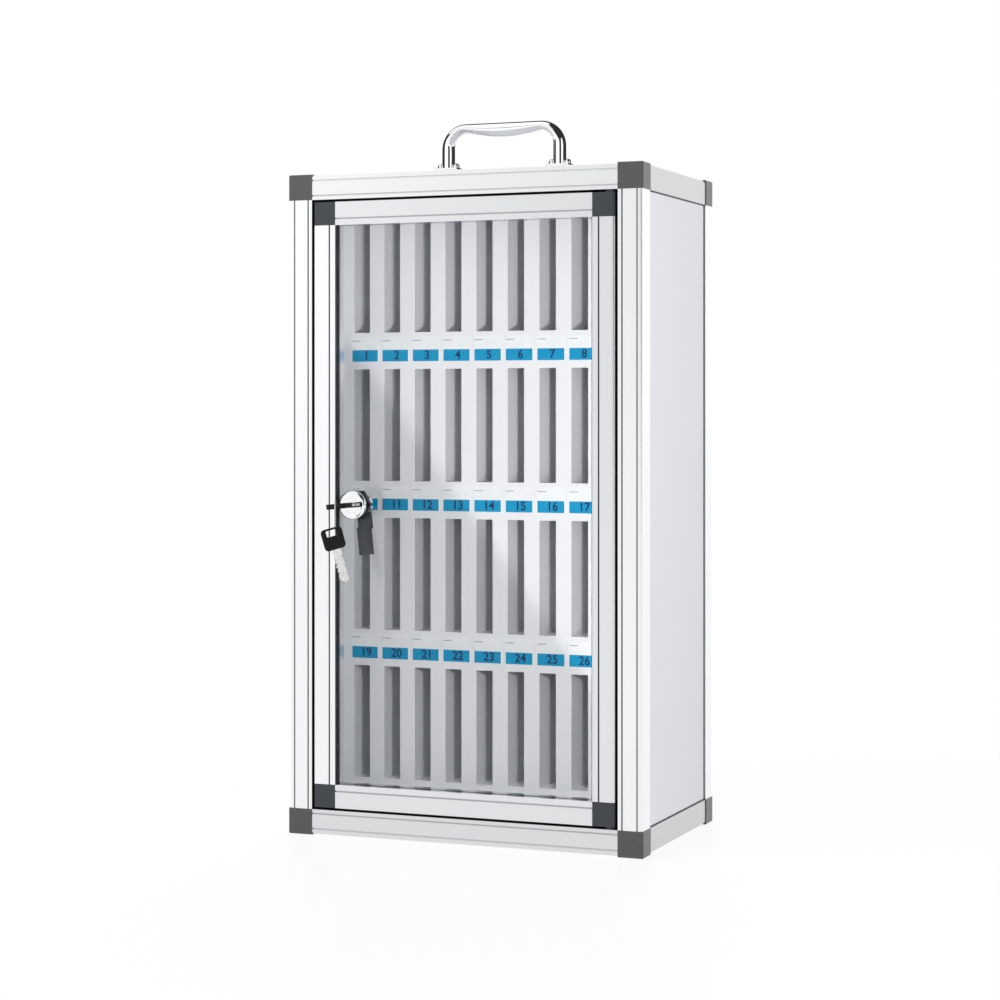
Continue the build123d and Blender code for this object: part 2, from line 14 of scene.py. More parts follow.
import bpy
from bpy.types import Light, Material, NodeSocket, Object, World
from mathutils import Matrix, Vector


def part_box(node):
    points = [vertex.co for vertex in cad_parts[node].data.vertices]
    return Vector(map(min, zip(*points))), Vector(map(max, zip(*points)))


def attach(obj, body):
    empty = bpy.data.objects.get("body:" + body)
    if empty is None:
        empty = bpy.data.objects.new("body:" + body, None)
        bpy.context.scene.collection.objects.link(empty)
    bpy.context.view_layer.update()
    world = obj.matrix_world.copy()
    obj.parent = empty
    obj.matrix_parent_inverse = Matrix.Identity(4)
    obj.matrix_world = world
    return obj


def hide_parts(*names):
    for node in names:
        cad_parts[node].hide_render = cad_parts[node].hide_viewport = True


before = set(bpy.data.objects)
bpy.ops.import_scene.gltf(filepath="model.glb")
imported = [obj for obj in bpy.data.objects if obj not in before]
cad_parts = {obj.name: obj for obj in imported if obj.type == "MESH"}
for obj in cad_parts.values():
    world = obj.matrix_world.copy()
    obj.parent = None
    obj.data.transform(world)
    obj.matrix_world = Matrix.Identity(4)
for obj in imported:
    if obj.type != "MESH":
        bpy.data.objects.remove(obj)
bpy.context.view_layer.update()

log = logging.getLogger("locker_box")

Colour = tuple[float, float, float]
Place = tuple[float, float, float]
Edges = tuple[tuple[str, float, float], ...]

MILLIMETRE = 0.001
WHITE = (1.0, 1.0, 1.0, 1.0)
TIERS = range(1, 5)

# Where the painted shade lines in grooves and gaps are measured from and end, and how soft their
# edges are, in millimetres.
MID_HEIGHT = 260.0
GROOVE_REAR = -87.3
LINE_SOFTNESS = 0.08


class Run(Enum):
    """The direction in which a metal profile was drawn."""

    ACROSS = (1.0, 0.0, 0.0)
    DEEP = (0.0, 1.0, 0.0)
    UPRIGHT = (0.0, 0.0, 1.0)

    def stretch(self, along: float, across: float) -> tuple[float, ...]:
        """Each axis's repeats per metre, for a pattern drawn out along this direction."""
        return tuple(along if part else across for part in self.value)


class Socket:
    """One output inside a node network, on which sums can be written."""

    def __init__(self, network: "Network", output: NodeSocket) -> None:
        """Keeps the output and the network that new Math nodes go into."""
        self.network = network
        self.output = output

    def _math(self, operation: str, first: Any, second: Any) -> "Socket":
        """The result of a Math node on two values, each a number or a Socket."""
        return self.network.node("ShaderNodeMath", {"operation": operation}, {0: first, 1: second})

    def __add__(self, other: Any) -> "Socket":
        """This plus another value."""
        return self._math("ADD", self, other)

    def __radd__(self, other: Any) -> "Socket":
        """A number plus this."""
        return self._math("ADD", other, self)

    def __sub__(self, other: Any) -> "Socket":
        """This less another value."""
        return self._math("SUBTRACT", self, other)

    def __rsub__(self, other: Any) -> "Socket":
        """A number less this."""
        return self._math("SUBTRACT", other, self)

    def __mul__(self, other: Any) -> "Socket":
        """This times another value."""
        return self._math("MULTIPLY", self, other)

    def __rmul__(self, other: Any) -> "Socket":
        """A number times this."""
        return self._math("MULTIPLY", other, self)

    def __abs__(self) -> "Socket":
        """This without its sign."""
        return self.network.node("ShaderNodeMath", {"operation": "ABSOLUTE"}, {0: self})


class Network:
    """The nodes of a material, a lamp or the world, empty to begin with."""

    def __init__(self, owner: Material | Light | World) -> None:
        """Clears the owner's nodes.

        Args:
            owner: what the nodes belong to.
        """
        owner.use_nodes = True
        self.tree = owner.node_tree
        self.tree.nodes.clear()

    def node(
        self,
        kind: str,
        settings: Mapping[str, Any] | None = None,
        sockets: Mapping[str | int, Any] | None = None,
        out: str | int = 0,
    ) -> Socket:
        """Adds one node.

        Args:
            kind: the node's type.
            settings: its own settings.
            sockets: values or Sockets for its inputs, by name or number.
            out: the output to return.

        Returns:
            That output.
        """
        made = self.tree.nodes.new(kind)
        for name, value in (settings or {}).items():
            setattr(made, name, value)
        for name, value in (sockets or {}).items():
            if isinstance(value, Socket):
                self.tree.links.new(value.output, made.inputs[name])
            else:
                made.inputs[name].default_value = value
        return Socket(self, made.outputs[out] if len(made.outputs) else None)

    def noise(
        self, size: float = 1.0, stretch: Sequence[float] = (1.0, 1.0, 1.0), detail: float = 2.0
    ) -> Socket:
        """Even noise between 0 and 1, which moves with the object.

        Args:
            size: its repeats per metre.
            stretch: a factor on these for each axis.
            detail: the number of its octaves.

        Returns:
            The noise.
        """
        own = self.node("ShaderNodeTexCoord", out="Object")
        where = self.node("ShaderNodeMapping", sockets={"Vector": own, "Scale": tuple(stretch)})
        sockets = {"Vector": where, "Scale": size, "Detail": detail}
        return self.node("ShaderNodeTexNoise", sockets=sockets, out="Fac")

    def blend(self, share: Socket | float, first: Colour | Socket, second: Colour) -> Socket:
        """The first colour with a share of the second mixed in."""
        base = first if isinstance(first, Socket) else (*first, 1.0)
        return self.node(
            "ShaderNodeMix", {"data_type": "RGBA"}, {0: share, 6: base, 7: (*second, 1.0)}, out=2
        )

    def tone(self, pattern: Socket, colour: Colour, spread: tuple[float, float]) -> Socket:
        """A colour times a factor that follows a pattern from one end of the spread to the other."""
        return self.blend(pattern, shade(colour, spread[0]), shade(colour, spread[1]))

    def waver(self, middle: float, *parts: tuple[Socket, float]) -> Socket:
        """A value that patterns move up and down.

        Args:
            middle: the value's middle.
            parts: each pattern, and how far it moves the value from end to end.

        Returns:
            The uneven value.
        """
        total: Socket | float = middle - sum(spread for _, spread in parts) / 2
        for pattern, spread in parts:
            total += pattern * spread
        return total

    def rise(self, value: Socket, start: float, end: float) -> Socket:
        """A smooth step from 0 at the start to 1 at the end, which may lie below the start."""
        return self.node(
            "ShaderNodeMapRange",
            {"interpolation_type": "SMOOTHSTEP"},
            {"Value": value, "From Min": start, "From Max": end},
        )

    def darkness(self, lines: Sequence["DarkLine"]) -> Socket | float:
        """How much painted shade the given lines put on the surface.

        Args:
            lines: the lines of painted shade.

        Returns:
            1 inside a line and 0 elsewhere, or plain 0 where there are no lines.
        """
        total: Socket | float = 0.0
        if not lines:
            return total
        parts = self.parts(self.node("ShaderNodeTexCoord", out="Object"))
        for line in lines:
            where = parts[line.axis]
            if line.axis != "Y":
                where = abs(where - line.middle * MILLIMETRE)
            inside = self._edge(where, line.start, 1) * self._edge(where, line.end, -1)
            if line.rear is not None:
                inside = inside * self._edge(parts["Y"], line.rear, -1)
            if line.front is not None:
                inside = inside * self._edge(parts["Y"], line.front, 1)
            total += inside * line.weight
        return total

    def parts(self, vector: Socket) -> dict[str, Socket]:
        """A vector's three parts, by the names of their axes."""
        return {
            axis: self.node("ShaderNodeSeparateXYZ", sockets={"Vector": vector}, out=axis)
            for axis in "XYZ"
        }

    def _edge(self, where: Socket, place: float, side: int) -> Socket:
        """1 on the dark side of a line's soft edge, which is above it for side 1 and below for -1."""
        soft = side * LINE_SOFTNESS
        return self.rise(where, (place - soft) * MILLIMETRE, (place + soft) * MILLIMETRE)

    def within(self, axes: Mapping[str, Socket], edges: Edges) -> Socket:
        """1 for a direction inside a soft-edged part of the world, and 0 for one outside it."""
        steps = [self.rise(axes[axis], start, full) for axis, start, full in edges]
        return math.prod(steps[1:], start=steps[0])

    def rays(self, *kinds: str) -> list[Socket]:
        """For each kind of ray that Light Path names, 1 for its rays and 0 for others."""
        return [self.node("ShaderNodeLightPath", out=f"Is {kind} Ray") for kind in kinds]

    def bump(self, height: Socket, depth: float, strength: float) -> Socket:
        """The normal as a relief between 0 and 1 bends it, with the relief's depth in metres."""
        sockets = {"Height": height, "Distance": depth, "Strength": strength}
        return self.node("ShaderNodeBump", sockets=sockets)

    def surface(self, **sockets: Any) -> Socket:
        """A Principled shader, joined to the material's output.

        Args:
            sockets: its inputs, with spaces in their names written as underscores.

        Returns:
            The shader.
        """
        named = {name.replace("_", " "): value for name, value in sockets.items()}
        shader = self.node("ShaderNodeBsdfPrincipled", sockets=named)
        self.node("ShaderNodeOutputMaterial", sockets={"Surface": shader})
        return shader


def shade(colour: Colour, factor: float) -> Colour:
    """A colour made lighter or darker by a factor, and no lighter than white."""
    return tuple(min(part * factor, 1.0) for part in colour)


@dataclass(frozen=True)
class DarkLine:
    """A line of painted shade along a piece, such as in the floor of a groove or on a face in a gap,
    in millimetres.

    X and Z are measured both ways from the middle, and Y from the origin.
    """

    axis: str
    start: float
    end: float
    middle: float = 0.0
    front: float | None = None
    rear: float | None = None
    weight: float = 1.0


@dataclass(frozen=True)
class Finish:
    """A surface finish. Each kind fills in its own nodes."""

    name: str

    def apply_to(self, *names: str) -> None:
        """Makes the finish's material and gives it to pieces.

        Args:
            names: the names of the pieces.
        """
        made = bpy.data.materials.new(self.name)
        self.nodes(Network(made))
        for name in names:
            piece = bpy.data.objects[name]
            if not piece.material_slots:
                piece.data.materials.append(made)
            for held in piece.material_slots:
                held.material = made

    def nodes(self, network: Network) -> None:
        """Adds the finish's nodes to the material's empty network."""
        raise NotImplementedError


@dataclass(frozen=True)
class SatinAluminium(Finish):
    """Drawn and anodised aluminium, with faint lines along the profile and painted shade in its
    grooves and gaps.

    The die lines and the clouds are repeats per metre, first along the profile and then across it.
    """

    run: Run
    dark_lines: tuple[DarkLine, ...] = ()
    tone: Colour = (0.92, 0.93, 0.94)
    tone_spread: tuple[float, float] = (0.965, 1.03)
    roughness: float = 0.22
    roughness_spread: float = 0.14
    die_lines: tuple[float, float] = (7.0, 1500.0)
    clouds: tuple[float, float] = (2.0, 24.0)
    line_share: float = 0.6
    line_depth: float = 0.00003
    line_strength: float = 0.35
    groove_colour: Colour = (0.02, 0.02, 0.022)
    groove_roughness: float = 0.35

    def nodes(self, network: Network) -> None:
        """Fine die lines, a broad unevenness in the sheen, and painted shade in the grooves and gaps.

        Args:
            network: the material's empty network.
        """
        lines = network.noise(stretch=self.run.stretch(*self.die_lines), detail=3.0)
        broad = network.noise(stretch=self.run.stretch(*self.clouds))
        uneven = lines * self.line_share + broad * (1.0 - self.line_share)
        # dark is the mask of the painted shade: it blends in a near-black, rough, non-metallic colour
        # in the grooves and gaps.
        dark = network.darkness(self.dark_lines)
        bright = network.tone(uneven, self.tone, self.tone_spread)
        network.surface(
            Base_Color=network.blend(dark, bright, self.groove_colour),
            Metallic=1 - dark,
            Roughness=network.waver(self.roughness, (uneven, self.roughness_spread))
            + dark * self.groove_roughness,
            Normal=network.bump(lines, self.line_depth, self.line_strength),
        )


@dataclass(frozen=True)
class MouldedPlastic(Finish):
    """Injection moulded plastic with a fine spark-eroded grain."""

    colour: Colour
    roughness: float = 0.42
    grain: float = 1400.0
    depth: float = 0.00005
    ior: float = 1.5
    flow: float = 60.0
    flow_stretch: tuple[float, ...] = (1.0, 1.0, 0.5)
    tone_spread: tuple[float, float] = (0.9, 1.12)
    grain_sheen: float = 0.16
    flow_sheen: float = 0.06
    grain_strength: float = 0.5

    def nodes(self, network: Network) -> None:
        """A fine grain, and a faint flow pattern in the tone.

        Args:
            network: the material's empty network.
        """
        grain = network.noise(self.grain)
        flow = network.noise(self.flow, self.flow_stretch, detail=3.0)
        network.surface(
            Base_Color=network.tone(flow, self.colour, self.tone_spread),
            Roughness=network.waver(
                self.roughness, (grain, self.grain_sheen), (flow, self.flow_sheen)
            ),
            IOR=self.ior,
            Normal=network.bump(grain, self.depth, self.grain_strength),
        )


@dataclass(frozen=True)
class CoatedSheet(Finish):
    """Sheet with a baked coat of paint, which lies in soft ripples."""

    colour: Colour
    roughness: float = 0.38
    dark_lines: tuple[DarkLine, ...] = ()
    ripple: float = 420.0
    cloud: float = 16.0
    tone_spread: tuple[float, float] = (0.975, 1.015)
    ripple_sheen: float = 0.06
    cloud_sheen: float = 0.1
    ripple_depth: float = 0.00004
    ripple_strength: float = 0.3
    beading_colour: Colour = (0.03, 0.03, 0.033)

    def nodes(self, network: Network) -> None:
        """Ripples in the paint, a faint cloudiness in the tone and painted shade, near black, along
        the edges where the sheet meets its profiles.

        Args:
            network: the material's empty network.
        """
        ripple = network.noise(self.ripple, detail=1.0)
        cloud = network.noise(self.cloud)
        paint = network.tone(cloud, self.colour, self.tone_spread)
        network.surface(
            # The lines blend a near-black painted shade into the paint.
            Base_Color=network.blend(network.darkness(self.dark_lines), paint, self.beading_colour),
            Roughness=network.waver(
                self.roughness, (cloud, self.cloud_sheen), (ripple, self.ripple_sheen)
            ),
            Normal=network.bump(ripple, self.ripple_depth, self.ripple_strength),
        )


@dataclass(frozen=True)
class Plate(Finish):
    """Bright plated metal, with faint wiping marks."""

    tone: Colour = (0.93, 0.93, 0.94)
    roughness: float = 0.0
    wear: float = 0.0
    marks: float = 180.0
    mark_stretch: tuple[float, ...] = (1.0, 1.0, 3.0)
    mark_share: float = 0.6
    mark_depth: float = 0.00001
    mark_strength: float = 0.1
    clouds: float = 45.0
    contrast: float = 0.03
    highlight: float = 1.01

    def nodes(self, network: Network) -> None:
        """Fine wiping marks in the polish, and a wear that unworn chrome doesn't have.

        Args:
            network: the material's empty network.
        """
        marks = network.noise(self.marks, self.mark_stretch, detail=4.0)
        cloud = network.noise(self.clouds)
        rough: Socket | float = self.roughness
        if self.wear:
            uneven = marks * self.mark_share + cloud * (1.0 - self.mark_share)
            rough = uneven * self.wear + self.roughness
        network.surface(
            Base_Color=network.tone(cloud, self.tone, (1.0 - self.contrast, self.highlight)),
            Metallic=1.0,
            Roughness=rough,
            Normal=network.bump(marks, self.mark_depth, self.mark_strength),
        )


@dataclass(frozen=True)
class Rubber(Finish):
    """Black extruded rubber or soft PVC."""

    colour: Colour = (0.012, 0.012, 0.013)
    roughness: float = 0.55
    dust: float = 260.0
    tone_spread: tuple[float, float] = (0.7, 2.0)
    dust_sheen: float = 0.2
    dust_depth: float = 0.00005
    dust_strength: float = 0.3

    def nodes(self, network: Network) -> None:
        """A dusty, slightly uneven black.

        Args:
            network: the material's empty network.
        """
        dust = network.noise(self.dust, detail=4.0)
        network.surface(
            Base_Color=network.tone(dust, self.colour, self.tone_spread),
            Roughness=network.waver(self.roughness, (dust, self.dust_sheen)),
            Normal=network.bump(dust, self.dust_depth, self.dust_strength),
        )


@dataclass(frozen=True)
class Glazing(Finish):
    """A clear sheet. Each of its faces mirrors a little, and lets the rest through."""

    tint: Colour = (0.6, 0.88, 1.0)
    mirror: float = 0.012
    mirror_spread: float = 0.004
    roughness: float = 0.02
    roughness_spread: float = 0.012
    film: float = 9.0

    def nodes(self, network: Network) -> None:
        """A thin mirror whose strength barely wavers.

        Args:
            network: the material's empty network.
        """
        film = network.noise(self.film)
        network.surface(
            Base_Color=(*self.tint, 1.0),
            Metallic=1.0,
            Roughness=network.waver(self.roughness, (film, self.roughness_spread)),
            Alpha=network.waver(self.mirror, (film, self.mirror_spread)),
        )


@dataclass(frozen=True)
class Card(Finish):
    """Smooth printing card, or a layer of ink on it."""

    colour: Colour
    roughness: float = 0.5
    sheen: float = 0.06
    fibre: float = 900.0
    fibre_stretch: tuple[float, ...] = (1.0, 1.0, 2.5)
    wash: float = 110.0
    wash_share: float = 0.5
    tone_spread: tuple[float, float] = (0.88, 1.12)
    fibre_sheen: float = 0.12
    fibre_depth: float = 0.00003
    fibre_strength: float = 0.25

    def nodes(self, network: Network) -> None:
        """Fibres in the card, which the ink takes unevenly.

        Args:
            network: the material's empty network.
        """
        fibre = network.noise(self.fibre, self.fibre_stretch, detail=4.0)
        wash = network.noise(self.wash)
        uneven = fibre * (1.0 - self.wash_share) + wash * self.wash_share
        network.surface(
            Base_Color=network.tone(uneven, self.colour, self.tone_spread),
            Roughness=network.waver(self.roughness, (fibre, self.fibre_sheen)),
            Specular_IOR_Level=self.sheen,
            Normal=network.bump(fibre, self.fibre_depth, self.fibre_strength),
        )


def deselect() -> None:
    """Leaves nothing selected."""
    bpy.ops.object.select_all(action="DESELECT")


def only(*things: Object) -> None:
    """Selects some objects alone, and makes the first one active.

    Args:
        things: the objects.
    """
    deselect()
    for thing in things:
        thing.select_set(True)
    bpy.context.view_layer.objects.active = things[0]


@contextmanager
def editing() -> Iterator[None]:
    """Edits the active mesh, with all of it selected to begin with."""
    bpy.ops.object.mode_set(mode="EDIT")
    bpy.ops.mesh.select_all(action="SELECT")
    yield
    bpy.ops.object.mode_set(mode="OBJECT")


def settle(things: Sequence[Object], name: str) -> Object:
    """Joins meshes into one piece and puts its place into its mesh.

    Args:
        things: the meshes.
        name: the piece's name.

    Returns:
        The piece, at the origin.
    """
    only(*things)
    if len(things) > 1:
        bpy.ops.object.join()
    bpy.ops.object.transform_apply()
    piece = bpy.context.object
    piece.name = piece.data.name = name
    return piece


def carry(piece: Object, body: str, slot: str, *nodes: str) -> None:
    """Makes a finished piece move with a body.

    Args:
        piece: the piece.
        body: the body that carries it.
        slot: the name of the record's material slot for the piece's finish; not used.
        nodes: the CAD nodes that it stands for.
    """
    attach(piece, body)
    if nodes:
        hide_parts(*nodes)
    log.info("%s: %d faces, on %s", piece.name, len(piece.data.polygons), body)


def soften(node: str, name: str, width: float, sharp: float = 40.0, smooth: float = 35.0) -> Object:
    """Copies a CAD piece and rounds its sharp edges a little.

    Args:
        node: the CAD piece.
        name: the copy's name.
        width: the rounding in millimetres.
        sharp: the angle in degrees above which an edge is rounded.
        smooth: the angle in degrees below which an edge is shaded smooth.

    Returns:
        The copy.
    """
    copy = bpy.data.objects.new(name, bpy.data.objects[node].data.copy())
    bpy.context.scene.collection.objects.link(copy)
    only(copy)
    with editing():
        bpy.ops.mesh.remove_doubles(threshold=0.01 * MILLIMETRE)
    bevel = copy.modifiers.new("edges", "BEVEL")
    bevel.width = width * MILLIMETRE
    bevel.segments = 2
    bevel.limit_method = "ANGLE"
    bevel.angle_limit = math.radians(sharp)
    bpy.ops.object.modifier_apply(modifier=bevel.name)
    bpy.ops.object.shade_smooth_by_angle(angle=math.radians(smooth))
    return copy


# Painted shade on the rails: faint in the floors of their two grooves, and black on their inner faces
# in the gap around the door.
RAIL_SHADE_LINES = (
    DarkLine("Z", 242.5, 243.7, MID_HEIGHT, rear=GROOVE_REAR, weight=0.3),
    DarkLine("Z", 254.4, 255.6, MID_HEIGHT, rear=GROOVE_REAR, weight=0.2),
    DarkLine("Z", 239.5, 239.9, MID_HEIGHT, front=-87.9, rear=-60.0),
)
PANEL_WHITE = (0.83, 0.855, 0.9)


@dataclass
class CabinetFrame:
    """The profiles, their corner blocks and the sheets between them."""

    # The posts' lines are painted shade: in the floors of their two grooves, and black on their inner
    # faces in the gap beside the door.
    post_finish: SatinAluminium = SatinAluminium(
        "satin_upright",
        Run.UPRIGHT,
        (
            DarkLine("X", 130.0, 131.2, rear=GROOVE_REAR, weight=0.75),
            DarkLine("X", 141.9, 143.1, rear=GROOVE_REAR, weight=0.6),
            DarkLine("X", 127.0, 127.4, front=-87.9, rear=-79.0),
        ),
    )
    # The rails are the same aluminium as the posts; their lower tones are painted shade: a little
    # darker on the top rails, darker on the bottom rails and darkest on the side rails.
    rail_finish: SatinAluminium = SatinAluminium(
        "satin_across", Run.ACROSS, RAIL_SHADE_LINES, tone=(0.85, 0.86, 0.87)
    )
    low_rail_finish: SatinAluminium = SatinAluminium(
        "satin_across_low", Run.ACROSS, RAIL_SHADE_LINES, tone=(0.72, 0.73, 0.745)
    )
    side_rail_finish: SatinAluminium = SatinAluminium("satin_deep", Run.DEEP, tone=(0.58, 0.59, 0.6))
    block_finish: MouldedPlastic = MouldedPlastic(
        "corner_grey", (0.048, 0.048, 0.05), roughness=0.3, ior=1.7
    )
    # The side panels' lines are painted shade, near black, along their rear edge and their top and
    # bottom edges, in the gaps where they meet the profiles.
    side_panel_finish: CoatedSheet = CoatedSheet(
        "side_panel_white",
        PANEL_WHITE,
        dark_lines=(DarkLine("Y", 68.6, 72.0), DarkLine("Z", 238.7, 241.0, MID_HEIGHT)),
    )
    panel_finish: CoatedSheet = CoatedSheet("panel_white", PANEL_WHITE)
    # The door stops are black as plastic and also as painted shade: through the gap around the door
    # they stand in for the gap's shadow.
    stop_finish: CoatedSheet = CoatedSheet("stop_black", (0.02, 0.02, 0.022), roughness=0.5)
    seal_finish: Rubber = Rubber("seal_black")

    def dress(self) -> None:
        """Gives every part of the cabinet its finish."""
        sides = ("left", "right")
        posts = [f"{end}_post_{side}" for end in ("front", "rear") for side in sides]
        self.post_finish.apply_to(*posts)
        self.rail_finish.apply_to("front_rail_top", "rear_rail_top")
        self.low_rail_finish.apply_to("front_rail_bottom", "rear_rail_bottom")
        self.stop_finish.apply_to("door_stops")
        deep_rails = [f"side_rail_{level}_{side}" for level in ("top", "bottom") for side in sides]
        self.side_rail_finish.apply_to(*deep_rails)
        self.block_finish.apply_to("corner_blocks_top", "corner_blocks_bottom")
        self.side_panel_finish.apply_to("side_panel_left", "side_panel_right")
        self.panel_finish.apply_to("back_panel", "top_panel", "bottom_panel")
        self.seal_finish.apply_to("door_seal")
        log.info("cabinet dressed")


@dataclass
class Door:
    """The door's profiles, blocks, pane and pivots."""

    # The stiles' lines are painted shade: in the floor of their groove, and black on their outer edge
    # faces in the gap beside the frame.
    stile_finish: SatinAluminium = SatinAluminium(
        "satin_stile",
        Run.UPRIGHT,
        (
            DarkLine("X", 111.5, 112.7, rear=GROOVE_REAR),
            DarkLine("X", 124.9, 125.6, front=-87.8, rear=-81.0),
        ),
    )
    # The hinge stile is the same aluminium as the lock stile; its lower tone is painted shade.
    hinge_tone: Colour = (0.78, 0.795, 0.81)
    # The door rails' lines are painted shade, in their groove and black on their edge faces in the
    # gap; their tone, lower than the stiles', is painted shade too.
    rail_finish: SatinAluminium = SatinAluminium(
        "satin_door_rail",
        Run.ACROSS,
        (
            DarkLine("Z", 224.0, 225.2, MID_HEIGHT, rear=GROOVE_REAR, weight=0.4),
            DarkLine("Z", 237.5, 238.1, MID_HEIGHT, front=-87.8, rear=-81.0),
        ),
        tone=(0.77, 0.785, 0.8),
    )
    block_finish: MouldedPlastic = MouldedPlastic(
        "corner_blue_black", (0.016, 0.022, 0.03), roughness=0.34, ior=1.6
    )
    pane_finish: Glazing = Glazing("pane_clear")
    gasket_finish: Rubber = Rubber("gasket_black")
    pin_finish: Plate = Plate("pin_steel", (0.6, 0.59, 0.57), roughness=0.21, wear=0.08)
    bush_finish: MouldedPlastic = MouldedPlastic("bush_black", (0.02, 0.02, 0.021), roughness=0.5)

    def dress(self) -> None:
        """Gives every part of the door its finish."""
        self.stile_finish.apply_to("door_stile_lock")
        hinge_finish = replace(self.stile_finish, name="satin_hinge_stile", tone=self.hinge_tone)
        hinge_finish.apply_to("door_stile_hinge")
        self.rail_finish.apply_to("door_rail_top", "door_rail_bottom")
        self.block_finish.apply_to("door_corners_hinge_side", "door_corners_lock_side")
        self.pane_finish.apply_to("door_pane")
        self.gasket_finish.apply_to("pane_gaskets")
        self.pin_finish.apply_to("pivot_pins")
        self.bush_finish.apply_to("pivot_bushes")
        log.info("door dressed")


@dataclass
class CamLock:
    """The cam lock in the door's pane."""

    chrome: Plate = Plate("lock_chrome")
    # Near black as blackened steel, and on the cam also as painted shadow: the cam hanging below the
    # lock stands in for the dark shadow of the spare key there.
    cam_steel: Plate = Plate("cam_black_steel", (0.06, 0.06, 0.065), roughness=0.26, wear=0.08)

    def dress(self) -> None:
        """Gives the lock its finishes."""
        self.chrome.apply_to("lock_body", "lock_plug")
        self.cam_steel.apply_to("lock_washer", "lock_nut", "lock_cam", "lock_cam_nut")
        log.info("lock dressed")


@dataclass
class Keys:
    """The inserted key, its ring and the spare key."""

    head_finish: MouldedPlastic = MouldedPlastic(
        "key_black", (0.007, 0.007, 0.0075), roughness=0.4, grain=1100.0, depth=0.00012, ior=1.28
    )
    blade_finish: Plate = Plate(
        "key_nickel", (0.95, 0.945, 0.93), roughness=0.1, wear=0.08, clouds=700.0, contrast=0.5
    )
    ring_finish: Plate = Plate("ring_steel", (0.5, 0.5, 0.5), roughness=0.08, wear=0.08)
    head_edge: float = 0.45

    def build(self) -> None:
        """Softens the heads and gives the keys their finishes."""
        bodies = {"key_head": "key", "spare_key_head": "spare_key"}
        heads = {node: soften(node, f"{node}_soft", self.head_edge) for node in bodies}
        self.head_finish.apply_to(*heads, *(head.name for head in heads.values()))
        for node, head in heads.items():
            carry(head, bodies[node], "key_plastic", node)
        self.blade_finish.apply_to("key_blade", "spare_key_blade")
        self.ring_finish.apply_to("key_ring")
        log.info("keys dressed")


